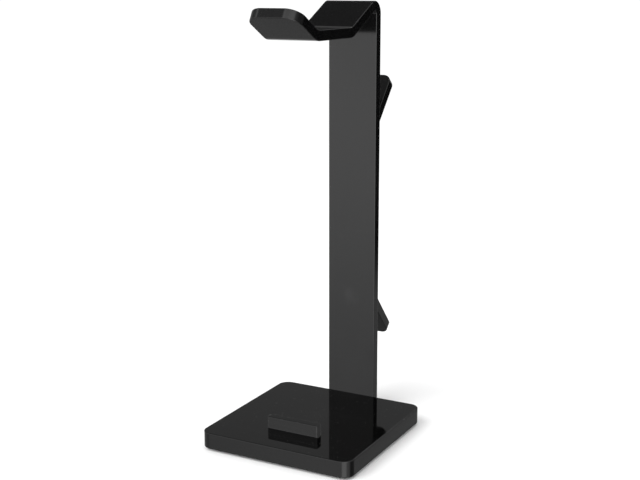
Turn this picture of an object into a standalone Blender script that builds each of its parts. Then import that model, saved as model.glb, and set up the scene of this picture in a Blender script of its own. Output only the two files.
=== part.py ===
"""Headphone stand made of gloss black acrylic sheet, for Blender 4.5.

Units are metres and +Z is up. The cradle and the phone rest face -Y, and the plane X = 0 is the
plane of symmetry. The origin lies on the surface that the feet stand on, below the middle of the
stand's outline.

The pieces are children of the empty called stand, which sits at the middle of the base's lower rear
edge. So their own depths (Y) are counted from the base's rear edge, positive towards the back, and
their own heights (Z) from the base's underside.
"""

import math

import bmesh
import bpy
from mathutils import Vector

# Sheet stock that the strips are cut from, and the clearance between pieces that touch
SHEET = 0.0060
GAP = 0.0003
SHEET_EDGE_ROUND = 0.0004
ARC_STEP = math.radians(6.0)
CORNER_SEGMENTS = 8

# Base
BASE_WIDTH = 0.1000
BASE_DEPTH = 0.1013
BASE_THICKNESS = 0.0099
BASE_CORNER_RADIUS = 0.0070
BASE_EDGE_ROUND = 0.0005

# Upright and the cradle that is bent from the same strip
STRIP_WIDTH = 0.0325
STRIP_TOP = 0.2607
TOP_BEND_RADIUS = 0.0020
SLOPE_ANGLE = math.radians(27.0)
SEAT_UNDERSIDE = 0.2400
SEAT_FRONT_CORNER = -0.0750
SEAT_BEND_RADIUS = 0.0080
LIP_ANGLE = math.radians(29.0)
LIP_RISE = 0.0131
LIP_CORNER_RADIUS = 0.0090

# Phone rest
BAR_WIDTH = 0.0336
BAR_HEIGHT = 0.0070
BAR_DEPTH = 0.0050
BAR_FRONT = -0.0773

# Cable cleat and the foam tape that holds it
CLEAT_WIDTH = 0.0245
CLEAT_MIDDLE = 0.1289
CLEAT_CORNER_SPACING = 0.1118
CLEAT_ANGLE = math.radians(41.8)
CLEAT_WING = 0.0340
CLEAT_BEND_RADIUS = 0.0040
CLEAT_CORNER_RADIUS = 0.0055
TAPE_THICKNESS = 0.0005
TAPE_WIDTH = 0.0200
TAPE_LENGTH = 0.0320
TAPE_SPACING = 0.0560

# Fasteners in the foot of the upright
SCREW_SPACING = 0.0180
SCREW_RADIUS = 0.0019
SCREW_LENGTH = 0.0120
SCREW_TIP_CHAMFER = 0.0004
HEAD_RADIUS = 0.0036
HEAD_HEIGHT = 0.0021
HEAD_RIM = 0.0005
SOCKET_ACROSS_FLATS = 0.0025
SOCKET_DEPTH = 0.0013
WASHER_RADIUS = 0.0042
WASHER_THICKNESS = 0.0006
INSERT_RADIUS = 0.0030
INSERT_LENGTH = 0.0085
INSERT_GROOVE_DEPTH = 0.0004
ROUND_SIDES = 40

# Feet
FOOT_RADIUS = 0.0050
FOOT_THICKNESS = 0.0012
FOOT_INSET = 0.0130
FOOT_EDGE_ROUND = 0.0003

# Places that follow from the dimensions above
UPRIGHT_FRONT = GAP
UPRIGHT_BACK = UPRIGHT_FRONT + SHEET
CLEAT_BACK = UPRIGHT_BACK + GAP + TAPE_THICKNESS + GAP + SHEET
REAR_REACH = CLEAT_BACK + CLEAT_WING * math.sin(CLEAT_ANGLE)
BASE_REAR_EDGE = (BASE_DEPTH - REAR_REACH) / 2
BASE_UNDERSIDE = FOOT_THICKNESS + GAP
SCREW_HEIGHT = BASE_THICKNESS / 2
WASHER_FRONT = UPRIGHT_BACK + GAP
HEAD_FRONT = WASHER_FRONT + WASHER_THICKNESS + GAP
CLEARANCE_RADIUS = SCREW_RADIUS + GAP
SIDES = {"left": -1, "right": 1}

# A turned piece lies along Y, with its own +Z end to the back
ALONG_DEPTH = (math.radians(-90.0), 0.0, 0.0)


def clear_scene():
    for obj in list(bpy.data.objects):
        bpy.data.objects.remove(obj)


def make_material(name, colour, roughness, metallic=0.0):
    material = bpy.data.materials.new(name)
    material.use_nodes = True
    shader = material.node_tree.nodes["Principled BSDF"]
    shader.inputs["Base Color"].default_value = (*colour, 1.0)
    shader.inputs["Roughness"].default_value = roughness
    shader.inputs["Metallic"].default_value = metallic
    material.diffuse_color = (*colour, 1.0)
    return material


def add_object(name, bm, material, parent, location=(0.0, 0.0, 0.0), rotation=(0.0, 0.0, 0.0)):
    """Turns a bmesh into an object, smooth shaded up to its sharp edges."""
    bmesh.ops.recalc_face_normals(bm, faces=bm.faces)
    mesh = bpy.data.meshes.new(name)
    bm.to_mesh(mesh)
    bm.free()
    mesh.shade_smooth()
    mesh.set_sharp_from_angle(angle=math.radians(35.0))
    mesh.materials.append(material)
    obj = bpy.data.objects.new(name, mesh)
    bpy.context.scene.collection.objects.link(obj)
    obj.parent = parent
    obj.location = location
    obj.rotation_euler = rotation
    return obj


def round_edges(obj, width, segments=2):
    bevel = obj.modifiers.new("edge_round", "BEVEL")
    bevel.width = width
    bevel.segments = segments
    bevel.limit_method = "ANGLE"
    bevel.angle_limit = math.radians(40.0)


def cut(obj, cutter):
    cutter.hide_render = True
    cutter.display_type = "WIRE"
    boolean = obj.modifiers.new("cut_" + cutter.name, "BOOLEAN")
    boolean.operation = "DIFFERENCE"
    boolean.object = cutter


def extruded(outline, width):
    """A solid whose (depth, height) outline is swept from -width / 2 to width / 2 along X."""
    bm = bmesh.new()
    corners = [bm.verts.new((-width / 2, depth, height)) for depth, height in outline]
    face = bm.faces.new(corners)
    swept = bmesh.ops.extrude_face_region(bm, geom=[face])
    moved = [part for part in swept["geom"] if isinstance(part, bmesh.types.BMVert)]
    bmesh.ops.translate(bm, vec=(width, 0.0, 0.0), verts=moved)
    return bm


def round_end_corners(bm, end, radius):
    """Rounds the two corners of a strip's end, seen square to the sheet.

    end holds the (depth, height) of the two outline points that the strip ends in.
    """
    def at_end(vert):
        return any((Vector(vert.co.yz) - point).length < GAP / 10 for point in end)

    edges = [edge for edge in bm.edges if all(at_end(vert) for vert in edge.verts)]
    across = [edge for edge in edges if abs(edge.verts[0].co.x - edge.verts[1].co.x) < GAP / 10]
    bmesh.ops.bevel(bm, geom=across, offset=radius, segments=CORNER_SEGMENTS, profile=0.5, affect="EDGES")


def bent_strip(start, heading, moves, thickness):
    """The two faces of a bent sheet, as two lists of (depth, height) points.

    start and heading give the middle of the sheet's first end and the angle that it runs at. A move is
    ("run", length) or ("bend", angle, inner radius), where a positive angle turns to the left.
    """
    here = Vector(start)
    left = []
    right = []

    def add_section():
        across = Vector((-math.sin(heading), math.cos(heading))) * thickness / 2
        left.append(here + across)
        right.append(here - across)

    add_section()
    for move in moves:
        if move[0] == "run":
            here = here + Vector((math.cos(heading), math.sin(heading))) * move[1]
            add_section()
            continue
        angle = move[1]
        turn = math.copysign(1.0, angle)
        radius = turn * (move[2] + thickness / 2)
        centre = here + Vector((-math.sin(heading), math.cos(heading))) * radius
        steps = math.ceil(abs(angle) / ARC_STEP)
        for _ in range(steps):
            heading += angle / steps
            here = centre + Vector((math.sin(heading), -math.cos(heading))) * radius
            add_section()
    return left, right


def strip_solid(faces, width):
    left, right = faces
    return extruded(right + left[::-1], width)


def turned(profile):
    """A solid of revolution about Z, from (radius, height) points listed from its lower end to its upper
    end. A profile that starts and ends off the axis is closed into a ring."""
    bm = bmesh.new()
    rings = []
    for radius, height in profile:
        if radius == 0.0:
            rings.append([bm.verts.new((0.0, 0.0, height))])
            continue
        ring = []
        for side in range(ROUND_SIDES):
            angle = 2 * math.pi * side / ROUND_SIDES
            ring.append(bm.verts.new((radius * math.cos(angle), radius * math.sin(angle), height)))
        rings.append(ring)
    pairs = list(zip(rings, rings[1:]))
    if len(rings[0]) > 1:
        pairs.append((rings[-1], rings[0]))
    for lower, upper in pairs:
        for side in range(ROUND_SIDES):
            following = (side + 1) % ROUND_SIDES
            if len(lower) == 1:
                bm.faces.new((lower[0], upper[following], upper[side]))
            elif len(upper) == 1:
                bm.faces.new((lower[side], lower[following], upper[0]))
            else:
                bm.faces.new((lower[side], lower[following], upper[following], upper[side]))
    return bm


def cylinder(radius, lowest, highest):
    return turned([(0.0, lowest), (radius, lowest), (radius, highest), (0.0, highest)])


def box(width, depth, height):
    bm = bmesh.new()
    bmesh.ops.create_cube(bm, size=1.0)
    bmesh.ops.scale(bm, vec=(width, depth, height), verts=bm.verts)
    return bm


def make_base(acrylic, stand):
    bm = box(BASE_WIDTH, BASE_DEPTH, BASE_THICKNESS)
    upright_edges = [edge for edge in bm.edges if abs(edge.verts[0].co.z - edge.verts[1].co.z) > GAP]
    bmesh.ops.bevel(
        bm,
        geom=upright_edges,
        offset=BASE_CORNER_RADIUS,
        segments=CORNER_SEGMENTS,
        profile=0.5,
        affect="EDGES",
    )
    base = add_object("base_slab", bm, acrylic, stand, (0.0, -BASE_DEPTH / 2, BASE_THICKNESS / 2))
    round_edges(base, BASE_EDGE_ROUND, segments=3)
    for side, sign in SIDES.items():
        hole = cylinder(INSERT_RADIUS + GAP, -INSERT_LENGTH - 2 * GAP, GAP)
        place = (sign * SCREW_SPACING / 2, 0.0, SCREW_HEIGHT)
        cut(base, add_object("insert_hole_" + side, hole, acrylic, stand, place, ALONG_DEPTH))
    return base


def make_upright(acrylic, stand):
    """One strip, followed from its foot up the back, over the top bend, down the slope, along the seat and
    up the lip. Lengths are worked out on the underside, where the flat stretches would meet in sharp
    corners if the bends had no radius."""
    outer_radius = TOP_BEND_RADIUS + SHEET
    straight_height = STRIP_TOP - outer_radius
    slope_start = Vector((
        UPRIGHT_FRONT - TOP_BEND_RADIUS * (1 + math.sin(SLOPE_ANGLE)),
        straight_height + TOP_BEND_RADIUS * math.cos(SLOPE_ANGLE),
    ))
    drop = slope_start.y - SEAT_UNDERSIDE
    seat_rear_corner = slope_start.x - drop / math.tan(SLOPE_ANGLE)
    slope_length = drop / math.sin(SLOPE_ANGLE)
    seat_length = seat_rear_corner - SEAT_FRONT_CORNER
    lip_length = LIP_RISE / math.sin(LIP_ANGLE)
    rear_tangent = (SEAT_BEND_RADIUS + SHEET) * math.tan(SLOPE_ANGLE / 2)
    front_tangent = (SEAT_BEND_RADIUS + SHEET) * math.tan(LIP_ANGLE / 2)
    moves = [
        ("run", straight_height),
        ("bend", math.radians(90.0) + SLOPE_ANGLE, TOP_BEND_RADIUS),
        ("run", slope_length - rear_tangent),
        ("bend", -SLOPE_ANGLE, SEAT_BEND_RADIUS),
        ("run", seat_length - rear_tangent - front_tangent),
        ("bend", -LIP_ANGLE, SEAT_BEND_RADIUS),
        ("run", lip_length - front_tangent),
    ]
    faces = bent_strip((UPRIGHT_FRONT + SHEET / 2, 0.0), math.radians(90.0), moves, SHEET)
    bm = strip_solid(faces, STRIP_WIDTH)
    round_end_corners(bm, [face[-1] for face in faces], LIP_CORNER_RADIUS)
    upright = add_object("upright_cradle", bm, acrylic, stand)
    round_edges(upright, SHEET_EDGE_ROUND)
    for side, sign in SIDES.items():
        hole = cylinder(CLEARANCE_RADIUS, -SHEET, SHEET)
        place = (sign * SCREW_SPACING / 2, UPRIGHT_FRONT + SHEET / 2, SCREW_HEIGHT)
        cut(upright, add_object("screw_hole_" + side, hole, acrylic, stand, place, ALONG_DEPTH))
    return upright


def make_phone_rest(acrylic, stand):
    bm = box(BAR_WIDTH, BAR_DEPTH, BAR_HEIGHT)
    place = (0.0, BAR_FRONT + BAR_DEPTH / 2, BASE_THICKNESS + GAP + BAR_HEIGHT / 2)
    bar = add_object("phone_rest_bar", bm, acrylic, stand, place)
    round_edges(bar, SHEET_EDGE_ROUND)
    return bar


def make_cleat(acrylic, stand):
    """One strip, followed from its lower tip to its upper tip. Its flared ends are measured on the back
    face, from the sharp corner that the bend rounds off."""
    tangent = CLEAT_BEND_RADIUS * math.tan(CLEAT_ANGLE / 2)
    to_tip = Vector((math.sin(CLEAT_ANGLE), -math.cos(CLEAT_ANGLE)))
    to_front = Vector((-math.cos(CLEAT_ANGLE), -math.sin(CLEAT_ANGLE)))
    corner = Vector((CLEAT_BACK, CLEAT_MIDDLE - CLEAT_CORNER_SPACING / 2))
    start = corner + to_tip * CLEAT_WING + to_front * SHEET / 2
    heading = math.radians(90.0) + CLEAT_ANGLE
    moves = [
        ("run", CLEAT_WING - tangent),
        ("bend", -CLEAT_ANGLE, CLEAT_BEND_RADIUS),
        ("run", CLEAT_CORNER_SPACING - 2 * tangent),
        ("bend", -CLEAT_ANGLE, CLEAT_BEND_RADIUS),
        ("run", CLEAT_WING - tangent),
    ]
    faces = bent_strip(start, heading, moves, SHEET)
    bm = strip_solid(faces, CLEAT_WIDTH)
    for tip in (0, -1):
        round_end_corners(bm, [face[tip] for face in faces], CLEAT_CORNER_RADIUS)
    cleat = add_object("cable_cleat", bm, acrylic, stand)
    round_edges(cleat, SHEET_EDGE_ROUND)
    return cleat


def make_tape(foam, stand):
    for level, sign in (("lower", -1), ("upper", 1)):
        bm = box(TAPE_WIDTH, TAPE_THICKNESS, TAPE_LENGTH)
        height = CLEAT_MIDDLE + sign * TAPE_SPACING / 2
        place = (0.0, UPRIGHT_BACK + GAP + TAPE_THICKNESS / 2, height)
        add_object("cleat_tape_" + level, bm, foam, stand, place)


def screw_profile():
    """Tip, shank, and a button head whose dome is part of a circle."""
    profile = [
        (0.0, -SCREW_LENGTH),
        (SCREW_RADIUS - SCREW_TIP_CHAMFER, -SCREW_LENGTH),
        (SCREW_RADIUS, SCREW_TIP_CHAMFER - SCREW_LENGTH),
        (SCREW_RADIUS, 0.0),
        (HEAD_RADIUS, 0.0),
        (HEAD_RADIUS, HEAD_RIM),
    ]
    dome_height = HEAD_HEIGHT - HEAD_RIM
    dome_radius = (HEAD_RADIUS ** 2 + dome_height ** 2) / (2 * dome_height)
    dome_angle = math.asin(HEAD_RADIUS / dome_radius)
    steps = 6
    for step in range(1, steps):
        angle = dome_angle * (1 - step / steps)
        height = HEAD_HEIGHT - dome_radius * (1 - math.cos(angle))
        profile.append((dome_radius * math.sin(angle), height))
    profile.append((0.0, HEAD_HEIGHT))
    return profile


def hex_prism(across_flats, lowest, highest):
    bm = bmesh.new()
    radius = across_flats / 2 / math.cos(math.radians(30.0))
    bmesh.ops.create_cone(
        bm,
        cap_ends=True,
        segments=6,
        radius1=radius,
        radius2=radius,
        depth=highest - lowest,
    )
    bmesh.ops.translate(bm, vec=(0.0, 0.0, (lowest + highest) / 2), verts=bm.verts)
    return bm


def insert_profile():
    """An open tube with a groove round its middle, between two knurled bands."""
    bore = CLEARANCE_RADIUS
    waist = INSERT_RADIUS - INSERT_GROOVE_DEPTH
    band = INSERT_LENGTH / 3
    return [
        (bore, -INSERT_LENGTH),
        (INSERT_RADIUS, -INSERT_LENGTH),
        (INSERT_RADIUS, -INSERT_LENGTH + band),
        (waist, -INSERT_LENGTH + band + INSERT_GROOVE_DEPTH),
        (waist, -band - INSERT_GROOVE_DEPTH),
        (INSERT_RADIUS, -band),
        (INSERT_RADIUS, 0.0),
        (bore, 0.0),
    ]


def make_fasteners(steel, nylon, brass, stand):
    for side, sign in SIDES.items():
        across = sign * SCREW_SPACING / 2
        head_place = (across, HEAD_FRONT, SCREW_HEIGHT)
        turned_screw = turned(screw_profile())
        screw = add_object("base_screw_" + side, turned_screw, steel, stand, head_place, ALONG_DEPTH)
        socket = hex_prism(SOCKET_ACROSS_FLATS, HEAD_HEIGHT - SOCKET_DEPTH, HEAD_HEIGHT + SOCKET_DEPTH)
        cut(screw, add_object("screw_socket_" + side, socket, steel, stand, head_place, ALONG_DEPTH))

        ring = turned([
            (CLEARANCE_RADIUS, 0.0),
            (WASHER_RADIUS, 0.0),
            (WASHER_RADIUS, WASHER_THICKNESS),
            (CLEARANCE_RADIUS, WASHER_THICKNESS),
        ])
        washer_place = (across, WASHER_FRONT, SCREW_HEIGHT)
        add_object("screw_washer_" + side, ring, nylon, stand, washer_place, ALONG_DEPTH)

        insert_place = (across, -GAP, SCREW_HEIGHT)
        insert = turned(insert_profile())
        add_object("threaded_insert_" + side, insert, brass, stand, insert_place, ALONG_DEPTH)


def make_feet(rubber, stand):
    profile = [
        (0.0, -FOOT_THICKNESS),
        (FOOT_RADIUS - FOOT_EDGE_ROUND, -FOOT_THICKNESS),
        (FOOT_RADIUS, FOOT_EDGE_ROUND - FOOT_THICKNESS),
        (FOOT_RADIUS, 0.0),
        (0.0, 0.0),
    ]
    for side, sign in SIDES.items():
        across = sign * (BASE_WIDTH / 2 - FOOT_INSET)
        for end, depth in (("front", FOOT_INSET - BASE_DEPTH), ("rear", -FOOT_INSET)):
            name = "foot_" + end + "_" + side
            add_object(name, turned(profile), rubber, stand, (across, depth, -GAP))


def main():
    clear_scene()
    acrylic = make_material("gloss_black_acrylic", (0.010, 0.010, 0.011), 0.05)
    rubber = make_material("black_rubber", (0.020, 0.020, 0.020), 0.80)
    foam = make_material("black_foam_tape", (0.030, 0.030, 0.030), 0.90)
    steel = make_material("black_oxide_steel", (0.030, 0.030, 0.032), 0.35, 1.0)
    nylon = make_material("black_nylon", (0.025, 0.025, 0.025), 0.50)
    brass = make_material("brass", (0.700, 0.500, 0.220), 0.30, 1.0)

    stand = bpy.data.objects.new("stand", None)
    bpy.context.scene.collection.objects.link(stand)
    stand.location = (0.0, BASE_REAR_EDGE, BASE_UNDERSIDE)

    make_base(acrylic, stand)
    make_upright(acrylic, stand)
    make_phone_rest(acrylic, stand)
    make_cleat(acrylic, stand)
    make_tape(foam, stand)
    make_fasteners(steel, nylon, brass, stand)
    make_feet(rubber, stand)


main()
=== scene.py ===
"""Looks of the headphone stand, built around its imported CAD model.

Units are metres, +Z is up and the stand faces -Y. Every piece that shows is a finer mesh in the place of
its CAD node, with a procedural material that reads the mesh's own coordinates.
"""

import math

import bmesh
import bpy
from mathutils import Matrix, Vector


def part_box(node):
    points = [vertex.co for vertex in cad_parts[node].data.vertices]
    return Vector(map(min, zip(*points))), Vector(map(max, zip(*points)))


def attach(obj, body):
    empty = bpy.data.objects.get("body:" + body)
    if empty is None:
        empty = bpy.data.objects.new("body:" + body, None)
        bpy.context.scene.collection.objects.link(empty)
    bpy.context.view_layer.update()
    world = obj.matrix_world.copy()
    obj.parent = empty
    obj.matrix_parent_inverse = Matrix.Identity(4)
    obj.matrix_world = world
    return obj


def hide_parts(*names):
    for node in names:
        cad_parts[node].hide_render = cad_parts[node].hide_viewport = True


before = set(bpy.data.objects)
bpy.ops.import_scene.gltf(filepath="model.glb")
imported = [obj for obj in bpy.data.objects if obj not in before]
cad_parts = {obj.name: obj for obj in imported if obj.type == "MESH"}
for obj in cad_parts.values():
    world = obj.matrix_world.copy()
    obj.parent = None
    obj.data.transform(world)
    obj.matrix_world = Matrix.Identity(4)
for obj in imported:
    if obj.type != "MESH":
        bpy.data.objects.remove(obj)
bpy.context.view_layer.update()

RIGHT_ANGLE = math.radians(90.0)
# Faces that meet at more than this keep a sharp edge between them
SHARP_ANGLE = math.radians(35.0)
# Edges sharper than this are rounded off
ROUNDED_ANGLE = math.radians(40.0)
# Less than any real size, for lengths that should be equal or nearly nothing
HAIR = 0.00002

# Shapes that a node's box doesn't give
SHEET = 0.0060
SHEET_EDGE_ROUND = 0.0004
EDGE_STEPS = 5
ARC_STEP = math.radians(1.5)
CORNER_STEPS = 12
BASE_CORNER_RADIUS = 0.0070
BASE_EDGE_ROUND = 0.0005
BASE_EDGE_STEPS = 6
TOP_BEND_RADIUS = 0.0020
SLOPE_ANGLE = math.radians(27.0)
# The seat's height above the base's underside, and where it meets the lip, from the base's rear edge
SEAT_UNDERSIDE = 0.2400
SEAT_FRONT_CORNER = -0.0750
SEAT_BEND_RADIUS = 0.0080
LIP_ANGLE = math.radians(29.0)
LIP_RISE = 0.0131
LIP_CORNER_RADIUS = 0.0090
CLEAT_CORNER_SPACING = 0.1118
CLEAT_ANGLE = math.radians(41.8)
CLEAT_WING = 0.0340
CLEAT_BEND_RADIUS = 0.0040
CLEAT_CORNER_RADIUS = 0.0055
CEMENT_BEAD = 0.0004
TAPE_SWELL = 0.0002
TAPE_CORNER_RADIUS = 0.0008
FOOT_RIM_ROUND = 0.0003
FOOT_TOP_STEPS = 4
ROUND_SIDES = 72

# Fasteners
HEAD_HEIGHT = 0.00193
HEAD_RIM = 0.0006
HEAD_RIM_CHAMFER = 0.00015
SHANK_RADIUS = 0.0019
SOCKET_ACROSS_FLATS = 0.0025
SOCKET_DEPTH = 0.0013
SOCKET_COUNTERSINK = 0.00035
DOME_STEPS = 14
THREAD_PITCH = 0.0007
THREAD_DEPTH = 0.0003
ROWS_PER_TURN = 8
SCREW_HOLE_RADIUS = 0.0022
WASHER_RIM_ROUND = 0.0003
INSERT_HOLE_RADIUS = 0.0033
INSERT_THREAD_DEPTH = 0.0002
# Where the groove round an insert starts and ends, as shares of its length
INSERT_GROOVE = (0.40, 0.60)
INSERT_GROOVE_DEPTH = 0.0005
INSERT_ROWS = 96
KNURL_DEPTH = 0.00018
KNURL_TEETH = 22
SIDES_PER_TOOTH = 6

# How acrylic is finished: the tone of its broad faces, which on the strips is a painted sheen a touch lighter
# than their cut edges, how rough the faces are, and how rough its cut edges are
SLAB_FINISH = (0.0018, 0.02, 0.10)
STRIP_FINISH = (0.004, 0.10, 0.06)
# Cells to the metre of the noise behind rub marks: long ones across the stand, thin every other way
ACROSS_THE_STAND = (14.0, 3000.0, 3000.0)

# Where the camera stands and how it is turned
CAMERA_PLACE = (0.31706, -0.60008, 0.27434)
CAMERA_DOWN = math.radians(12.800)
CAMERA_YAW = math.radians(28.201)
CAMERA_ROLL = math.radians(0.090)
CAMERA_LENS = 64.405
SENSOR_WIDTH = 36.0

BASE_LOW, BASE_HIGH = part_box("base_slab")
UPRIGHT_LOW, UPRIGHT_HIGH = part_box("upright_cradle")


# Meshes


def add_object(name, data):
    thing = bpy.data.objects.new(name, data)
    bpy.context.scene.collection.objects.link(thing)
    return thing


def mesh_from(bm, name):
    mesh = bpy.data.meshes.new(name)
    bm.to_mesh(mesh)
    bm.free()
    return mesh


def shade(mesh):
    mesh.shade_smooth()
    mesh.set_sharp_from_angle(angle=SHARP_ANGLE)


def add_piece(name, bm, material, replaced):
    """Turns a bmesh in the row frame into a piece that stands for a CAD node."""
    bmesh.ops.recalc_face_normals(bm, faces=bm.faces)
    mesh = mesh_from(bm, name)
    shade(mesh)
    mesh.materials.append(material)
    piece = add_object(name, mesh)
    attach(piece, "root")
    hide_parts(replaced)
    return piece


def round_edges(piece):
    """Rounds the edges of a bent sheet."""
    bevel = piece.modifiers.new("edge_round", "BEVEL")
    bevel.width = SHEET_EDGE_ROUND
    bevel.segments = 4
    bevel.limit_method = "ANGLE"
    bevel.angle_limit = ROUNDED_ANGLE
    bevel.use_clamp_overlap = False


def cut(piece, bm):
    """Cuts the solid bm out of a piece."""
    bmesh.ops.recalc_face_normals(bm, faces=bm.faces)
    cutter = add_object("cutter", mesh_from(bm, "cutter"))
    boolean = piece.modifiers.new("cut", "BOOLEAN")
    boolean.operation = "DIFFERENCE"
    boolean.solver = "EXACT"
    boolean.object = cutter
    settle(piece)
    bpy.data.objects.remove(cutter)


def drill(piece, radius, front, back, axis_point):
    """Cuts a round hole along Y, from front to back."""
    cut(piece, turned([(0.0, front), (radius, front), (radius, back), (0.0, back)], axis_point))


def settle(piece):
    """Puts the piece's modifiers into its mesh."""
    graph = bpy.context.evaluated_depsgraph_get()
    settled = bpy.data.meshes.new_from_object(piece.evaluated_get(graph))
    piece.modifiers.clear()
    piece.data = settled


def even_shading(piece):
    """Lets each vertex take its normal from the largest faces round it, so that flat faces shade flat."""
    shade(piece.data)
    weighted = piece.modifiers.new("even_shading", "WEIGHTED_NORMAL")
    weighted.weight = 80
    weighted.keep_sharp = True


def arc(centre, radius, first, last, steps):
    """Points of an arc, ends included, as (across, height)."""
    points = []
    for step in range(steps + 1):
        angle = first + (last - first) * step / steps
        points.append((centre[0] + radius * math.cos(angle), centre[1] + radius * math.sin(angle)))
    return points


def axis_through(low, high):
    """Where the line along Y through the middle of a box meets Y = 0."""
    middle = (low + high) / 2
    return Vector((middle.x, 0.0, middle.z))


def rounded_rectangle(width, depth, radius):
    """Corner points of a rounded rectangle round the origin, anticlockwise from its lower right corner."""
    points = []
    for corner, (sign_x, sign_y) in enumerate(((1, -1), (1, 1), (-1, 1), (-1, -1))):
        centre = (sign_x * (width / 2 - radius), sign_y * (depth / 2 - radius))
        first = RIGHT_ANGLE * (corner - 1)
        points += arc(centre, radius, first, first + RIGHT_ANGLE, CORNER_STEPS)
    return points


def loft(rings):
    """A solid through closed rings with the same number of (x, y, z) points, its two ends flat."""
    bm = bmesh.new()
    made = [[bm.verts.new(point) for point in ring] for ring in rings]
    for lower, upper in zip(made, made[1:]):
        for i in range(len(lower)):
            after = (i + 1) % len(lower)
            bm.faces.new((lower[i], lower[after], upper[after], upper[i]))
    bm.faces.new(made[0][::-1])
    bm.faces.new(made[-1])
    return bm


def rounded_block(low, high, corner_radius, profile):
    """A block with rounded upright corners. profile lists (offset from the side, height)."""
    width, depth = high.x - low.x, high.y - low.y
    middle = (low + high) / 2
    rings = []
    for offset, height in profile:
        radius = max(corner_radius + offset, HAIR)
        outline = rounded_rectangle(width + 2 * offset, depth + 2 * offset, radius)
        rings.append([(middle.x + x, middle.y + y, height) for x, y in outline])
    return loft(rings)


def edge_rounds(low, high, radius, steps):
    """The (offset, height) profile of a block's side, from its underside to its top."""
    under = arc((-radius, low + radius), radius, -RIGHT_ANGLE, 0.0, steps)
    over = arc((-radius, high - radius), radius, 0.0, RIGHT_ANGLE, steps)
    return under + over


def turned(profile, axis_point, sides=64, wave=None):
    """A solid of revolution about a line along Y.

    profile lists (radius, distance to the back) from the front end to the back end. One that starts and ends
    off the line is closed into a ring. wave(radius, distance, angle) may give each point its own radius.
    """
    bm = bmesh.new()
    rings = []
    for radius, distance in profile:
        if radius == 0.0:
            rings.append([bm.verts.new(axis_point + Vector((0.0, distance, 0.0)))])
            continue
        ring = []
        for side in range(sides):
            angle = 2 * math.pi * side / sides
            reach = wave(radius, distance, angle) if wave else radius
            spot = Vector((reach * math.cos(angle), distance, reach * math.sin(angle)))
            ring.append(bm.verts.new(axis_point + spot))
        rings.append(ring)
    pairs = list(zip(rings, rings[1:]))
    if len(rings[0]) > 1:
        pairs.append((rings[-1], rings[0]))
    for front, back in pairs:
        for side in range(sides):
            after = (side + 1) % sides
            if len(front) == 1:
                bm.faces.new((front[0], back[side], back[after]))
            elif len(back) == 1:
                bm.faces.new((front[side], back[0], front[after]))
            else:
                bm.faces.new((front[side], back[side], back[after], front[after]))
    return bm


def bent_strip(start, heading, moves, thickness):
    """The two faces of a bent sheet, as two lists of (depth, height) points.

    start and heading give the middle of the sheet's first end and the angle that it runs at. A move is
    ("run", length) or ("bend", angle, inner radius), where a positive angle turns to the left.
    """
    here = Vector(start)
    left = []
    right = []

    def add_section():
        across = Vector((-math.sin(heading), math.cos(heading))) * thickness / 2
        left.append(here + across)
        right.append(here - across)

    add_section()
    for move in moves:
        if move[0] == "run":
            here = here + Vector((math.cos(heading), math.sin(heading))) * move[1]
            add_section()
            continue
        angle = move[1]
        turn = math.copysign(1.0, angle)
        radius = turn * (move[2] + thickness / 2)
        centre = here + Vector((-math.sin(heading), math.cos(heading))) * radius
        steps = math.ceil(abs(angle) / ARC_STEP)
        for _ in range(steps):
            heading += angle / steps
            here = centre + Vector((math.sin(heading), -math.cos(heading))) * radius
            add_section()
    return left, right


def strip_solid(faces, width, rounded_ends):
    """A bent sheet of the given width. rounded_ends holds (which end, corner radius) pairs."""
    left, right = faces
    bm = bmesh.new()
    outline = right + left[::-1]
    side = bm.faces.new([bm.verts.new((-width / 2, depth, height)) for depth, height in outline])
    swept = bmesh.ops.extrude_face_region(bm, geom=[side])
    moved = [part for part in swept["geom"] if isinstance(part, bmesh.types.BMVert)]
    bmesh.ops.translate(bm, vec=(width, 0.0, 0.0), verts=moved)
    for end, radius in rounded_ends:
        points = (left[end], right[end])

        def at_end(vert):
            return any((Vector(vert.co.yz) - point).length < HAIR for point in points)

        across = [
            edge for edge in bm.edges
            if all(at_end(vert) for vert in edge.verts)
            and abs(edge.verts[0].co.x - edge.verts[1].co.x) < HAIR
        ]
        bmesh.ops.bevel(bm, geom=across, offset=radius, segments=20, profile=0.5, affect="EDGES")
    return bm


# Shader nodes


def add_node(tree, kind, inputs=None, **settings):
    """Adds a node. An input is given a value, or another node's output to be linked to."""
    node = tree.nodes.new("ShaderNode" + kind)
    for name, value in settings.items():
        setattr(node, name, value)
    for name, value in (inputs or {}).items():
        if isinstance(value, bpy.types.NodeSocket):
            tree.links.new(value, node.inputs[name])
        else:
            node.inputs[name].default_value = value
    return node


def calc(tree, operation, first, second=0.0, third=0.0):
    return add_node(tree, "Math", {0: first, 1: second, 2: third}, operation=operation).outputs[0]


def add_up(tree, *terms):
    """The sum of the terms, each an output and its weight."""
    total = None
    for value, weight in terms:
        term = calc(tree, "MULTIPLY", value, weight)
        total = term if total is None else calc(tree, "ADD", total, term)
    return total


def calc_vector(tree, operation, first, second=(0.0, 0.0, 0.0)):
    return add_node(tree, "VectorMath", {0: first, 1: second}, operation=operation).outputs["Vector"]


def measure(tree, operation, first, second=(0.0, 0.0, 0.0)):
    """The number that a vector operation gives, such as a length."""
    return add_node(tree, "VectorMath", {0: first, 1: second}, operation=operation).outputs["Value"]


def step_up(tree, value, low, high):
    """0 below low, 1 above high and smooth in between. With low above high it falls instead."""
    inputs = {"Value": value, "From Min": low, "From Max": high}
    return add_node(tree, "MapRange", inputs, interpolation_type="SMOOTHSTEP").outputs[0]


def blend(tree, share, first, second):
    """Goes from first to second, two numbers or outputs that hold numbers."""
    return add_node(tree, "Mix", {0: share, 2: first, 3: second}, data_type="FLOAT").outputs[0]


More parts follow.
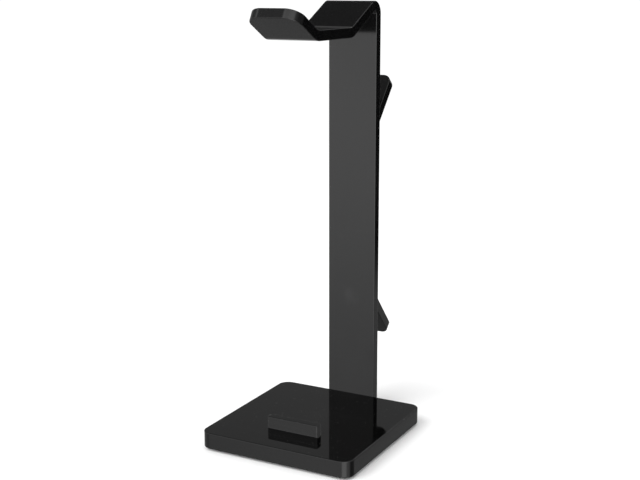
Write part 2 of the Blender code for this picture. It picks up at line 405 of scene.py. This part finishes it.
def opaque(colour):
    """A colour of three numbers with full alpha. An output stays as it is."""
    return colour if isinstance(colour, bpy.types.NodeSocket) else (*colour, 1.0)


def blend_colour(tree, share, first, second):
    """Goes from first to second, two colours or outputs that hold colours."""
    inputs = {0: share, 6: opaque(first), 7: opaque(second)}
    return add_node(tree, "Mix", inputs, data_type="RGBA").outputs[2]


def noise(tree, point, scale, detail, roughness=0.5):
    """Noise with scale cells to the metre, and detail finer layers on top."""
    inputs = {"Vector": point, "Scale": scale, "Detail": detail, "Roughness": roughness}
    return add_node(tree, "TexNoise", inputs).outputs[0]


def scaled(tree, point, scale, rotation=(0.0, 0.0, 0.0)):
    inputs = {"Vector": point, "Scale": scale, "Rotation": rotation}
    return add_node(tree, "Mapping", inputs).outputs[0]


def axis_of(tree, vector, axis):
    return add_node(tree, "SeparateXYZ", {0: vector}).outputs["XYZ".index(axis)]


def surface_normal(tree):
    return add_node(tree, "NewGeometry").outputs["Normal"]


def new_material(name):
    """A material with its tree, its shader and the piece's own coordinates."""
    material = bpy.data.materials.new(name)
    material.use_nodes = True
    tree = material.node_tree
    shader = tree.nodes["Principled BSDF"]
    point = add_node(tree, "TexCoord").outputs["Object"]
    return material, tree, shader, point


def finish_material(tree, shader, colour, roughness, height):
    """Links colour and roughness, and a height in metres as bump."""
    tree.links.new(colour, shader.inputs["Base Color"])
    tree.links.new(roughness, shader.inputs["Roughness"])
    bump = add_node(tree, "Bump", {"Strength": 1.0, "Distance": 1.0, "Height": height})
    tree.links.new(bump.outputs[0], shader.inputs["Normal"])


def worn_edges(tree, reach):
    """1 along edges within reach, 0 on open faces."""
    bevelled = add_node(tree, "Bevel", {"Radius": reach}, samples=4).outputs[0]
    facing = measure(tree, "DOT_PRODUCT", bevelled, surface_normal(tree))
    return step_up(tree, facing, 0.998, 0.93)


def fingerprints(tree, point):
    """Smudges the size of fingertips, in a few of the cells that space is split into."""
    cells = add_node(tree, "TexVoronoi", {"Vector": point, "Scale": 34.0, "Randomness": 1.0})
    chosen = step_up(tree, axis_of(tree, cells.outputs["Color"], "X"), 0.66, 0.68)
    tip = step_up(tree, cells.outputs["Distance"], 0.32, 0.16)
    whorl = noise(tree, point, 160.0, 1.0)
    rings = calc(tree, "MULTIPLY_ADD", cells.outputs["Distance"], 330.0)
    rings = calc(tree, "ADD", rings, calc(tree, "MULTIPLY", whorl, 24.0))
    ridges = calc(tree, "MULTIPLY_ADD", calc(tree, "SINE", rings), 0.25, 0.75)
    patchy = step_up(tree, noise(tree, point, 220.0, 3.0), 0.35, 0.62)
    print_here = calc(tree, "MULTIPLY", calc(tree, "MULTIPLY", chosen, tip), ridges)
    return calc(tree, "MULTIPLY", print_here, patchy)


def hairlines(tree, point, stretch, rotation, density):
    """Fine straight scratches. stretch is the number of cells to the metre on each axis: few along the
    scratches and many across them."""
    lines = noise(tree, scaled(tree, point, stretch, rotation), 1.0, 1.0)
    return step_up(tree, lines, density, density + 0.05)


def dust(tree, point):
    """Specks that lie on what faces up, and a few that cling to upright faces."""
    crooked = calc(tree, "MULTIPLY", noise(tree, point, 2600.0, 2.0), 0.12)
    cells = add_node(tree, "TexVoronoi", {"Vector": point, "Scale": 900.0, "Randomness": 1.0})
    speck = step_up(tree, calc(tree, "ADD", cells.outputs["Distance"], crooked), 0.20, 0.12)
    facing_up = step_up(tree, axis_of(tree, surface_normal(tree), "Z"), 0.2, 0.9)
    lies = blend(tree, facing_up, 0.992, 0.93)
    patch = calc(tree, "MULTIPLY_ADD", noise(tree, point, 30.0, 2.0), 0.10, -0.05)
    limit = calc(tree, "SUBTRACT", lies, patch)
    chosen = calc(tree, "GREATER_THAN", axis_of(tree, cells.outputs["Color"], "Y"), limit)
    return calc(tree, "MULTIPLY", speck, chosen)


def acrylic(name, finish, cut_axes, rub_place, rub_size):
    """Black acrylic sheet, buffed and handled.

    finish is SLAB_FINISH or STRIP_FINISH. The cut edges are polished clear and face along cut_axes.
    rub_place and rub_size are the middle and the half sizes of the part that things rub against.
    """
    painted_face_sheen, face_roughness, cut_roughness = finish
    material, tree, shader, point = new_material(name)
    shader.inputs["IOR"].default_value = 1.49

    waves = noise(tree, point, 55.0, 1.0)
    prints = fingerprints(tree, point)
    wipes = noise(tree, scaled(tree, point, (26.0, 26.0, 14.0), (0.4, 0.9, 0.2)), 1.0, 4.0)
    wiped = step_up(tree, wipes, 0.50, 0.72)
    buffing = calc(
        tree,
        "MAXIMUM",
        hairlines(tree, point, (3000.0, 3000.0, 16.0), (0.10, 0.06, 0.0), 0.72),
        hairlines(tree, point, (14.0, 3200.0, 3200.0), (0.0, 0.12, 0.35), 0.72),
    )
    away = calc_vector(tree, "SUBTRACT", point, rub_place)
    distance = measure(tree, "LENGTH", calc_vector(tree, "DIVIDE", away, rub_size))
    rubbed = step_up(tree, distance, 1.15, 0.35)
    rub_lines = calc(
        tree,
        "MAXIMUM",
        hairlines(tree, point, ACROSS_THE_STAND, (0.05, 0.04, 0.06), 0.66),
        hairlines(tree, point, ACROSS_THE_STAND, (-0.11, 0.13, -0.17), 0.68),
    )
    rub_lines = calc(tree, "MULTIPLY", rub_lines, rubbed)
    scratches = calc(tree, "MULTIPLY", calc(tree, "MAXIMUM", buffing, rub_lines), 0.5)

    cut_face = 0.0
    normal = surface_normal(tree)
    for axis in cut_axes:
        facing = step_up(tree, calc(tree, "ABSOLUTE", axis_of(tree, normal, axis)), 0.55, 0.75)
        cut_face = calc(tree, "MAXIMUM", cut_face, facing)
    edge = worn_edges(tree, 0.0006)
    nick_size = noise(tree, point, 420.0, 3.0)
    nicks = calc(tree, "MULTIPLY", edge, step_up(tree, nick_size, 0.60, 0.70))
    specks = dust(tree, point)

    roughness = blend(tree, cut_face, face_roughness, cut_roughness)
    duller = add_up(tree, (waves, 0.02), (wiped, 0.025), (rubbed, 0.04), (prints, 0.07), (scratches, 0.20))
    roughness = calc(tree, "ADD", roughness, duller)
    roughness = blend(tree, nicks, roughness, 0.45)
    roughness = blend(tree, specks, roughness, 0.90)

    clear = (0.0018, 0.0018, 0.0019)
    # Painted sheen: the strips' broad faces are painted a touch lighter than their cut edges
    painted_sheen_colour = (painted_face_sheen, painted_face_sheen, painted_face_sheen * 1.02)
    colour = blend_colour(tree, cut_face, painted_sheen_colour, clear)
    film = add_up(tree, (prints, 0.18), (wiped, 0.03))
    colour = blend_colour(tree, film, colour, (0.045, 0.045, 0.046))
    colour = blend_colour(tree, calc(tree, "MULTIPLY", scratches, 0.35), colour, (0.050, 0.050, 0.052))
    colour = blend_colour(tree, nicks, colour, (0.030, 0.030, 0.032))
    colour = blend_colour(tree, calc(tree, "MULTIPLY", specks, 0.8), colour, (0.22, 0.21, 0.20))

    saw_marks = (900.0, 60.0, 900.0) if cut_axes == "X" else (900.0, 900.0, 60.0)
    ripple_height = calc(tree, "MULTIPLY", cut_face, 1.5e-6)
    ripple = calc(tree, "MULTIPLY", noise(tree, scaled(tree, point, saw_marks), 1.0, 1.0), ripple_height)
    height = calc(tree, "MULTIPLY", waves, 1.4e-5)
    height = calc(tree, "ADD", height, ripple)
    height = calc(tree, "ADD", height, calc(tree, "MULTIPLY", nicks, -2.0e-5))
    height = calc(tree, "ADD", height, calc(tree, "MULTIPLY", specks, 2.0e-5))
    finish_material(tree, shader, colour, roughness, height)
    return material


def black_oxide_steel():
    """Blackened steel, blotched darker and lighter, and worn to bare metal along its edges."""
    material, tree, shader, point = new_material("black_oxide_steel")
    shader.inputs["Metallic"].default_value = 1.0
    blotches = noise(tree, point, 900.0, 4.0)
    worn = calc(tree, "MULTIPLY", worn_edges(tree, 0.00015), step_up(tree, blotches, 0.40, 0.62))
    turning = noise(tree, scaled(tree, point, (2500.0, 9000.0, 2500.0)), 1.0, 2.0)
    colour = blend_colour(tree, blotches, (0.085, 0.085, 0.090), (0.150, 0.145, 0.140))
    colour = blend_colour(tree, worn, colour, (0.42, 0.41, 0.40))
    roughness = calc(tree, "MULTIPLY_ADD", turning, 0.22, 0.24)
    roughness = blend(tree, worn, roughness, 0.28)
    height = calc(tree, "MULTIPLY", turning, 3.0e-6)
    finish_material(tree, shader, colour, roughness, height)
    return material


def black_nylon():
    """Moulded nylon with a faint matt grain."""
    material, tree, shader, point = new_material("black_nylon")
    grain = noise(tree, point, 7000.0, 3.0)
    patches = noise(tree, point, 700.0, 2.0)
    scuffs = calc(tree, "MULTIPLY", worn_edges(tree, 0.0002), 0.6)
    colour = blend_colour(tree, patches, (0.016, 0.016, 0.017), (0.030, 0.030, 0.030))
    colour = blend_colour(tree, scuffs, colour, (0.070, 0.070, 0.070))
    roughness = calc(tree, "MULTIPLY_ADD", grain, 0.20, 0.42)
    finish_material(tree, shader, colour, roughness, calc(tree, "MULTIPLY", grain, 6.0e-6))
    return material


def brass():
    """Turned brass, tarnished in patches and worn bright along its edges."""
    material, tree, shader, point = new_material("brass")
    shader.inputs["Metallic"].default_value = 1.0
    tarnish = noise(tree, point, 800.0, 4.0)
    bright = worn_edges(tree, 0.0001)
    turning = noise(tree, scaled(tree, point, (1500.0, 12000.0, 1500.0)), 1.0, 1.0)
    colour = blend_colour(tree, tarnish, (0.62, 0.42, 0.17), (0.78, 0.58, 0.27))
    colour = blend_colour(tree, bright, colour, (0.90, 0.72, 0.38))
    roughness = calc(tree, "MULTIPLY_ADD", tarnish, 0.25, 0.18)
    finish_material(tree, shader, colour, roughness, calc(tree, "MULTIPLY", turning, 3.0e-6))
    return material


def black_rubber():
    """Stick-on rubber with a fine grain and some dust picked up from the table."""
    material, tree, shader, point = new_material("black_rubber")
    grain = noise(tree, point, 3800.0, 4.0, 0.65)
    patches = noise(tree, point, 380.0, 3.0)
    low_down = step_up(tree, axis_of(tree, point, "Z"), 0.0007, 0.0)
    dusty = calc(tree, "MULTIPLY", step_up(tree, patches, 0.42, 0.66), blend(tree, low_down, 0.25, 0.8))
    colour = blend_colour(tree, grain, (0.012, 0.012, 0.012), (0.024, 0.024, 0.024))
    colour = blend_colour(tree, dusty, colour, (0.075, 0.072, 0.068))
    roughness = calc(tree, "MULTIPLY_ADD", grain, 0.20, 0.68)
    finish_material(tree, shader, colour, roughness, calc(tree, "MULTIPLY", grain, 2.5e-5))
    return material


def black_foam():
    """The cut edge of closed-cell foam tape, its cell pits sunk in and painted darker as shade."""
    material, tree, shader, point = new_material("black_foam_tape")
    cells = add_node(tree, "TexVoronoi", {"Vector": point, "Scale": 5200.0}).outputs["Distance"]
    patches = noise(tree, point, 500.0, 3.0)
    cell_pits_and_painted_shade = step_up(tree, cells, 0.55, 0.15)
    colour = blend_colour(tree, patches, (0.018, 0.018, 0.019), (0.034, 0.034, 0.034))
    # Painted shade: the pits of the cells are painted darker, where shade falls in them
    colour = blend_colour(tree, cell_pits_and_painted_shade, colour, (0.007, 0.007, 0.007))
    roughness = calc(tree, "MULTIPLY_ADD", patches, 0.15, 0.80)
    finish_material(tree, shader, colour, roughness, calc(tree, "MULTIPLY", cell_pits_and_painted_shade, -4.0e-5))
    return material


# Pieces


def make_base():
    """The slab, with two blind holes for the inserts in its rear edge."""
    shelf = Vector((0.0, (BASE_LOW.y + BASE_HIGH.y) / 2, BASE_HIGH.z))
    material = acrylic("base_acrylic", SLAB_FINISH, "XY", shelf, (0.030, 0.024, 0.004))
    profile = edge_rounds(BASE_LOW.z, BASE_HIGH.z, BASE_EDGE_ROUND, BASE_EDGE_STEPS)
    bm = rounded_block(BASE_LOW, BASE_HIGH, BASE_CORNER_RADIUS, profile)
    base = add_piece("base_slab_gloss", bm, material, "base_slab")
    for side in ("left", "right"):
        low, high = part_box("threaded_insert_" + side)
        front = low.y - SHEET_EDGE_ROUND
        back = BASE_HIGH.y + SHEET_EDGE_ROUND
        drill(base, INSERT_HOLE_RADIUS, front, back, axis_through(low, high))
    even_shading(base)
    base.visible_glossy = False


def make_upright():
    """One strip, followed from its foot up the back, over the top bend, down the slope, along the seat and
    up the lip. Lengths are worked out on the underside, where the flat stretches would meet in sharp
    corners if the bends had no radius."""
    front = UPRIGHT_HIGH.y - SHEET
    foot = UPRIGHT_LOW.z
    seat_underside = BASE_LOW.z + SEAT_UNDERSIDE
    seat_front_corner = BASE_HIGH.y + SEAT_FRONT_CORNER
    straight_top = UPRIGHT_HIGH.z - TOP_BEND_RADIUS - SHEET
    slope_start = Vector((
        front - TOP_BEND_RADIUS * (1 + math.sin(SLOPE_ANGLE)),
        straight_top + TOP_BEND_RADIUS * math.cos(SLOPE_ANGLE),
    ))
    drop = slope_start.y - seat_underside
    seat_rear_corner = slope_start.x - drop / math.tan(SLOPE_ANGLE)
    rear_tangent = (SEAT_BEND_RADIUS + SHEET) * math.tan(SLOPE_ANGLE / 2)
    front_tangent = (SEAT_BEND_RADIUS + SHEET) * math.tan(LIP_ANGLE / 2)
    moves = [
        ("run", straight_top - foot),
        ("bend", RIGHT_ANGLE + SLOPE_ANGLE, TOP_BEND_RADIUS),
        ("run", drop / math.sin(SLOPE_ANGLE) - rear_tangent),
        ("bend", -SLOPE_ANGLE, SEAT_BEND_RADIUS),
        ("run", seat_rear_corner - seat_front_corner - rear_tangent - front_tangent),
        ("bend", -LIP_ANGLE, SEAT_BEND_RADIUS),
        ("run", LIP_RISE / math.sin(LIP_ANGLE) - front_tangent),
    ]
    faces = bent_strip((front + SHEET / 2, foot), RIGHT_ANGLE, moves, SHEET)
    bm = strip_solid(faces, UPRIGHT_HIGH.x - UPRIGHT_LOW.x, [(-1, LIP_CORNER_RADIUS)])
    seat = Vector((0.0, (seat_front_corner + seat_rear_corner) / 2, seat_underside + SHEET))
    material = acrylic("upright_acrylic", STRIP_FINISH, "X", seat, (0.022, 0.026, 0.010))
    upright = add_piece("upright_cradle_gloss", bm, material, "upright_cradle")
    round_edges(upright)
    for side in ("left", "right"):
        axis_point = axis_through(*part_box("base_screw_" + side))
        drill(upright, SCREW_HOLE_RADIUS, front - SHEET, front + 2 * SHEET, axis_point)
    even_shading(upright)


def make_phone_rest():
    """The bar with the thin bead of cement that joins it to the base."""
    low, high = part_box("phone_rest_bar")
    low = Vector((low.x, low.y, BASE_HIGH.z))
    bead_centre = (CEMENT_BEAD, low.z + CEMENT_BEAD)
    bead = arc(bead_centre, CEMENT_BEAD, -RIGHT_ANGLE, -2 * RIGHT_ANGLE, EDGE_STEPS)
    top_centre = (-SHEET_EDGE_ROUND, high.z - SHEET_EDGE_ROUND)
    top = arc(top_centre, SHEET_EDGE_ROUND, 0.0, RIGHT_ANGLE, EDGE_STEPS)
    middle = (low + high) / 2
    material = acrylic("bar_acrylic", STRIP_FINISH, "XZ", middle, (0.022, 0.006, 0.004))
    bm = rounded_block(low, high, SHEET_EDGE_ROUND, bead + top)
    bar = add_piece("phone_rest_bar_gloss", bm, material, "phone_rest_bar")
    even_shading(bar)


def make_cleat():
    """One strip, followed from its lower tip to its upper tip. Its flared ends are measured on the back
    face, from the sharp corner that the bend rounds off."""
    low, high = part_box("cable_cleat")
    tangent = CLEAT_BEND_RADIUS * math.tan(CLEAT_ANGLE / 2)
    to_tip = Vector((math.sin(CLEAT_ANGLE), -math.cos(CLEAT_ANGLE)))
    to_front = Vector((-math.cos(CLEAT_ANGLE), -math.sin(CLEAT_ANGLE)))
    corner = Vector((low.y + SHEET, (low.z + high.z) / 2 - CLEAT_CORNER_SPACING / 2))
    start = corner + to_tip * CLEAT_WING + to_front * SHEET / 2
    moves = [
        ("run", CLEAT_WING - tangent),
        ("bend", -CLEAT_ANGLE, CLEAT_BEND_RADIUS),
        ("run", CLEAT_CORNER_SPACING - 2 * tangent),
        ("bend", -CLEAT_ANGLE, CLEAT_BEND_RADIUS),
        ("run", CLEAT_WING - tangent),
    ]
    faces = bent_strip(start, RIGHT_ANGLE + CLEAT_ANGLE, moves, SHEET)
    bm = strip_solid(faces, high.x - low.x, [(0, CLEAT_CORNER_RADIUS), (-1, CLEAT_CORNER_RADIUS)])
    middle = (low + high) / 2
    material = acrylic("cleat_acrylic", STRIP_FINISH, "X", middle, (0.016, 0.016, 0.060))
    cleat = add_piece("cable_cleat_gloss", bm, material, "cable_cleat")
    round_edges(cleat)
    settle(cleat)
    even_shading(cleat)


def make_tape():
    """Foam that fills the space between the upright and the cleat and swells out a little at its edges."""
    foam = black_foam()
    front = UPRIGHT_HIGH.y
    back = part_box("cable_cleat")[0].y
    steps = 6
    for level in ("lower", "upper"):
        node = "cleat_tape_" + level
        low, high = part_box(node)
        middle = (low + high) / 2
        rings = []
        for step in range(steps + 1):
            swell = TAPE_SWELL * math.sin(math.pi * step / steps)
            width = high.x - low.x + 2 * swell
            height = high.z - low.z + 2 * swell
            outline = rounded_rectangle(width, height, TAPE_CORNER_RADIUS)
            depth = front + (back - front) * step / steps
            rings.append([(middle.x + x, depth, middle.z + z) for x, z in outline])
        even_shading(add_piece(node + "_foam", loft(rings), foam, node))


def thread_cut(distance, angle, depth):
    """How far a helical thread of triangular section reaches in at a point round its axis."""
    turn = (distance / THREAD_PITCH - angle / (2 * math.pi)) % 1.0
    return depth * abs(2 * turn - 1)


def screw_wave(radius, distance, angle):
    """Cuts the thread into the shank.

    Known fault: it sets every radius from the shank's upwards, the head's included, so that the head comes
    out no wider than the shank.
    """
    if radius < SHANK_RADIUS - HAIR:
        return radius
    return SHANK_RADIUS - thread_cut(distance, angle, THREAD_DEPTH)


def screw_profile(tip, top, head_radius):
    """A button-head screw from its tip to the top of its dome, for turned()."""
    seat = top - HEAD_HEIGHT
    profile = [(0.0, tip), (SHANK_RADIUS - 2 * THREAD_DEPTH, tip)]
    rows = round((seat - tip) / THREAD_PITCH) * ROWS_PER_TURN
    for row in range(1, rows):
        profile.append((SHANK_RADIUS, tip + (seat - tip) * row / rows))
    profile.append((SHANK_RADIUS - THREAD_DEPTH, seat))
    profile.append((head_radius - HEAD_RIM_CHAMFER, seat))
    profile.append((head_radius, seat + HEAD_RIM_CHAMFER))
    profile.append((head_radius, seat + HEAD_RIM))
    dome_height = top - seat - HEAD_RIM
    dome_radius = (head_radius ** 2 + dome_height ** 2) / (2 * dome_height)
    dome_angle = math.asin(head_radius / dome_radius)
    for step in range(1, DOME_STEPS):
        angle = dome_angle * (1 - step / DOME_STEPS)
        profile.append((dome_radius * math.sin(angle), top - dome_radius * (1 - math.cos(angle))))
    profile.append((0.0, top))
    return profile


def cut_socket(screw, top, axis_point):
    """Cuts the hex socket with its pointed floor, and the chamfer round its mouth."""
    corner_radius = SOCKET_ACROSS_FLATS / 2 / math.cos(math.radians(30.0))
    floor = top - SOCKET_DEPTH
    clear = top + SOCKET_DEPTH
    point = (0.0, floor - SOCKET_ACROSS_FLATS / 6)
    cut(screw, turned([point, (corner_radius, floor), (corner_radius, clear), (0.0, clear)], axis_point, 6))
    countersink = SOCKET_ACROSS_FLATS / 2 + SOCKET_COUNTERSINK
    chamfer = [(0.0, top - countersink), (countersink + SOCKET_DEPTH, clear), (0.0, clear)]
    cut(screw, turned(chamfer, axis_point))


def make_screws():
    steel = black_oxide_steel()
    for side in ("left", "right"):
        node = "base_screw_" + side
        low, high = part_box(node)
        axis_point = axis_through(low, high)
        profile = screw_profile(low.y, high.y, (high.x - low.x) / 2)
        bm = turned(profile, axis_point, wave=screw_wave)
        screw = add_piece(node + "_steel", bm, steel, node)
        cut_socket(screw, high.y, axis_point)
        screw.visible_glossy = False
        even_shading(screw)


def make_washers():
    """Each washer fills the space between the upright and the seat of its screw's head."""
    nylon = black_nylon()
    rim = WASHER_RIM_ROUND
    for side in ("left", "right"):
        node = "screw_washer_" + side
        low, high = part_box(node)
        outer = (high.x - low.x) / 2
        gap = low.y - UPRIGHT_HIGH.y
        front = UPRIGHT_HIGH.y + HAIR
        back = high.y + gap - HAIR
        profile = [(SCREW_HOLE_RADIUS, front)]
        profile += arc((outer - rim, front + rim), rim, -RIGHT_ANGLE, 0.0, EDGE_STEPS)
        profile += arc((outer - rim, back - rim), rim, 0.0, RIGHT_ANGLE, EDGE_STEPS)
        profile.append((SCREW_HOLE_RADIUS, back))
        bm = turned(profile, axis_through(low, high), ROUND_SIDES)
        even_shading(add_piece(node + "_nylon", bm, nylon, node))


def insert_wave(outer):
    """Cuts a thread into an insert's bore and crossed knurls into its outside. Its groove stays plain."""
    def wave(radius, distance, angle):
        if radius < SCREW_HOLE_RADIUS + HAIR:
            return SCREW_HOLE_RADIUS - thread_cut(distance, angle, INSERT_THREAD_DEPTH)
        if radius < outer - HAIR:
            return radius
        twist = distance / outer
        right_hand = abs(math.sin(KNURL_TEETH / 2 * (angle + twist)))
        left_hand = abs(math.sin(KNURL_TEETH / 2 * (angle - twist)))
        return outer - KNURL_DEPTH * (1 - min(right_hand, left_hand))
    return wave


def make_inserts():
    """Knurled tubes with a groove round their middle and a thread inside."""
    metal = brass()
    for side in ("left", "right"):
        node = "threaded_insert_" + side
        low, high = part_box(node)
        outer = (high.x - low.x) / 2
        length = high.y - low.y
        groove_front, groove_back = (low.y + length * share for share in INSERT_GROOVE)
        profile = []
        for row in range(INSERT_ROWS + 1):
            distance = low.y + length * row / INSERT_ROWS
            sunk = INSERT_GROOVE_DEPTH if groove_front < distance < groove_back else 0.0
            profile.append((outer - sunk, distance))
        for row in range(INSERT_ROWS, -1, -1):
            profile.append((SCREW_HOLE_RADIUS, low.y + length * row / INSERT_ROWS))
        bm = turned(profile, axis_through(low, high), KNURL_TEETH * SIDES_PER_TOOTH, insert_wave(outer))
        insert = add_piece(node + "_brass", bm, metal, node)
        insert.visible_glossy = False
        even_shading(insert)


def make_feet():
    """Rubber discs that reach up to the base, their rims rounded more at the table than at the base."""
    rubber = black_rubber()
    rim = FOOT_RIM_ROUND
    for end in ("front", "rear"):
        for side in ("left", "right"):
            node = "foot_" + end + "_" + side
            low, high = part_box(node)
            middle = (low + high) / 2
            radius = (high.x - low.x) / 2
            profile = arc((radius - rim, low.z + rim), rim, -RIGHT_ANGLE, 0.0, EDGE_STEPS)
            profile += arc((radius - rim / 2, BASE_LOW.z - rim / 2), rim / 2, 0.0, RIGHT_ANGLE, FOOT_TOP_STEPS)
            rings = []
            for reach, height in profile:
                ring = arc((0.0, 0.0), reach, 0.0, 2 * math.pi, ROUND_SIDES)[:-1]
                rings.append([(middle.x + x, middle.y + y, height) for x, y in ring])
            foot = add_piece(node + "_rubber", loft(rings), rubber, node)
            foot.visible_glossy = False
            even_shading(foot)


# Studio


def sine_of(degrees):
    """The sine of an angle above the horizon, which is kept between straight down and straight up."""
    return math.sin(math.radians(max(-90.0, min(90.0, degrees))))


def add_panel(tree, direction, turn, half_width, low, high, soft):
    """Where a panel of light is, as a share from 0 to 1.

    All its measures are in degrees. turn is its middle, from the front towards the right, half_width its
    reach to either side, low and high the heights of its edges above the horizon, and soft how far they fade.
    """
    around = math.radians(turn)
    level = calc_vector(tree, "NORMALIZE", calc_vector(tree, "MULTIPLY", direction, (1.0, 1.0, 0.0)))
    facing = measure(tree, "DOT_PRODUCT", level, (math.sin(around), -math.cos(around), 0.0))
    outside = math.cos(math.radians(min(half_width + soft, 180.0)))
    inside = math.cos(math.radians(max(half_width - soft, 0.0)))
    share = step_up(tree, facing, outside, inside)
    height = axis_of(tree, direction, "Z")
    for edge, sign in ((low, 1), (high, -1)):
        if abs(edge) < 90.0:
            reached = step_up(tree, height, sine_of(edge - sign * soft), sine_of(edge + sign * soft))
            share = calc(tree, "MULTIPLY", share, reached)
    return share


# How bright the backdrop is to the camera and the dome to matt surfaces, and, for gloss to mirror, the room
# above the horizon and below it
BACKDROP = 1.05
DOME_LEVEL = 1.0
CEILING_LEVEL = 0.19
GROUND_LEVEL = 0.27
KEY_STRENGTH = 2.1
KEY_SPREAD = math.radians(50.0)
KEY_TURN = (math.radians(50.0), 0.0, math.radians(-25.0))
FLOOR_RADIUS = 14.0
FLOOR_SHADE = 0.88
# How far from the stand the floor starts to fade into the backdrop, and where it is gone
FLOOR_FADE = (0.35, 1.40)
# Panels of light: turn, half width, low edge, high edge, softness in degrees, and brightness
PANELS = (
    (5.0, 80.0, -90.0, 40.0, 20.0, 0.62),
    (-35.0, 40.0, -14.0, 12.0, 9.0, 0.72),
    (18.0, 52.0, 30.0, 58.0, 10.0, 1.30),
    (112.0, 40.0, 38.0, 60.0, 8.0, 1.80),
    (180.0, 20.0, 29.0, 42.0, 4.0, 1.30),
    (-68.0, 7.0, 37.0, 53.0, 5.0, 1.00),
    (33.0, 19.0, -34.0, -18.0, 10.0, 1.25),
    (40.0, 25.0, -17.0, 12.0, 5.0, 2.50),
    (-100.0, 22.0, -40.0, 10.0, 14.0, 0.45),
    (0.0, 180.0, 72.0, 90.0, 8.0, 0.90),
    (215.0, 34.0, -28.0, -7.0, 6.0, 0.65),
)
# Dark flags in the same terms, and how much of the light each takes away
FLAGS = (
    (154.0, 16.0, -14.5, 4.0, 1.5, 0.93),
    (154.0, 14.0, 7.0, 25.0, 2.0, 0.92),
    (226.0, 30.0, 38.0, 64.0, 7.0, 0.78),
    (116.0, 24.0, -90.0, 5.0, 8.0, 0.55),
    (-75.0, 38.0, -90.0, -12.0, 12.0, 0.55),
    (-56.0, 24.0, -90.0, -44.0, 6.0, 0.80),
)


def make_world():
    """A pale backdrop and an even dome of light. What gloss reflects is a dim room with soft panels."""
    world = bpy.data.worlds.new("studio")
    bpy.context.scene.world = world
    world.use_nodes = True
    tree = world.node_tree
    direction = add_node(tree, "TexCoord").outputs["Generated"]
    height = axis_of(tree, direction, "Z")
    light = blend(tree, step_up(tree, height, 0.0, -0.2), CEILING_LEVEL, GROUND_LEVEL)
    for *place, brightness in PANELS:
        share = add_panel(tree, direction, *place)
        light = calc(tree, "ADD", light, calc(tree, "MULTIPLY", share, brightness))
    for *place, strength in FLAGS:
        share = add_panel(tree, direction, *place)
        kept = calc(tree, "SUBTRACT", 1.0, calc(tree, "MULTIPLY", share, strength))
        light = calc(tree, "MULTIPLY", light, kept)
    path = add_node(tree, "LightPath").outputs
    light = blend(tree, path["Is Diffuse Ray"], light, DOME_LEVEL)
    background = tree.nodes["Background"]
    background.inputs["Color"].default_value = (1.0, 1.0, 1.0, 1.0)
    tree.links.new(blend(tree, path["Is Camera Ray"], light, BACKDROP), background.inputs["Strength"])


def make_key_light():
    """A wide soft sun, which gloss doesn't mirror."""
    light = bpy.data.lights.new("key", "SUN")
    light.energy = KEY_STRENGTH
    light.angle = KEY_SPREAD
    key = add_object("key", light)
    key.rotation_euler = KEY_TURN
    key.visible_glossy = False


def make_floor():
    """A wide pale disc that fades into the backdrop. The panels of the room stand for it in reflections."""
    bm = bmesh.new()
    bmesh.ops.create_circle(bm, cap_ends=True, segments=96, radius=FLOOR_RADIUS)
    mesh = mesh_from(bm, "floor")
    floor = add_object("floor", mesh)
    floor.visible_glossy = False
    material = bpy.data.materials.new("floor_paint")
    material.use_nodes = True
    tree = material.node_tree
    shader = tree.nodes["Principled BSDF"]
    shader.inputs["Base Color"].default_value = (FLOOR_SHADE, FLOOR_SHADE, FLOOR_SHADE, 1.0)
    shader.inputs["Roughness"].default_value = 0.9
    point = add_node(tree, "TexCoord").outputs["Object"]
    far = step_up(tree, measure(tree, "LENGTH", point), *FLOOR_FADE)
    glow = add_node(tree, "Emission", {"Color": (1.0, 1.0, 1.0, 1.0), "Strength": BACKDROP}).outputs[0]
    mixed = add_node(tree, "MixShader", {0: far, 1: shader.outputs[0], 2: glow}).outputs[0]
    tree.links.new(mixed, tree.nodes["Material Output"].inputs["Surface"])
    mesh.materials.append(material)


def make_camera():
    data = bpy.data.cameras.new("camera")
    data.lens = CAMERA_LENS
    data.sensor_width = SENSOR_WIDTH
    camera = add_object("camera", data)
    camera.location = CAMERA_PLACE
    camera.rotation_euler = (RIGHT_ANGLE - CAMERA_DOWN, CAMERA_ROLL, CAMERA_YAW)
    bpy.context.scene.camera = camera


make_camera()
make_world()
make_key_light()
make_floor()
make_base()
make_upright()
make_phone_rest()
make_cleat()
make_tape()
make_screws()
make_washers()
make_inserts()
make_feet()

bpy.context.scene.view_settings.view_transform = "Standard"
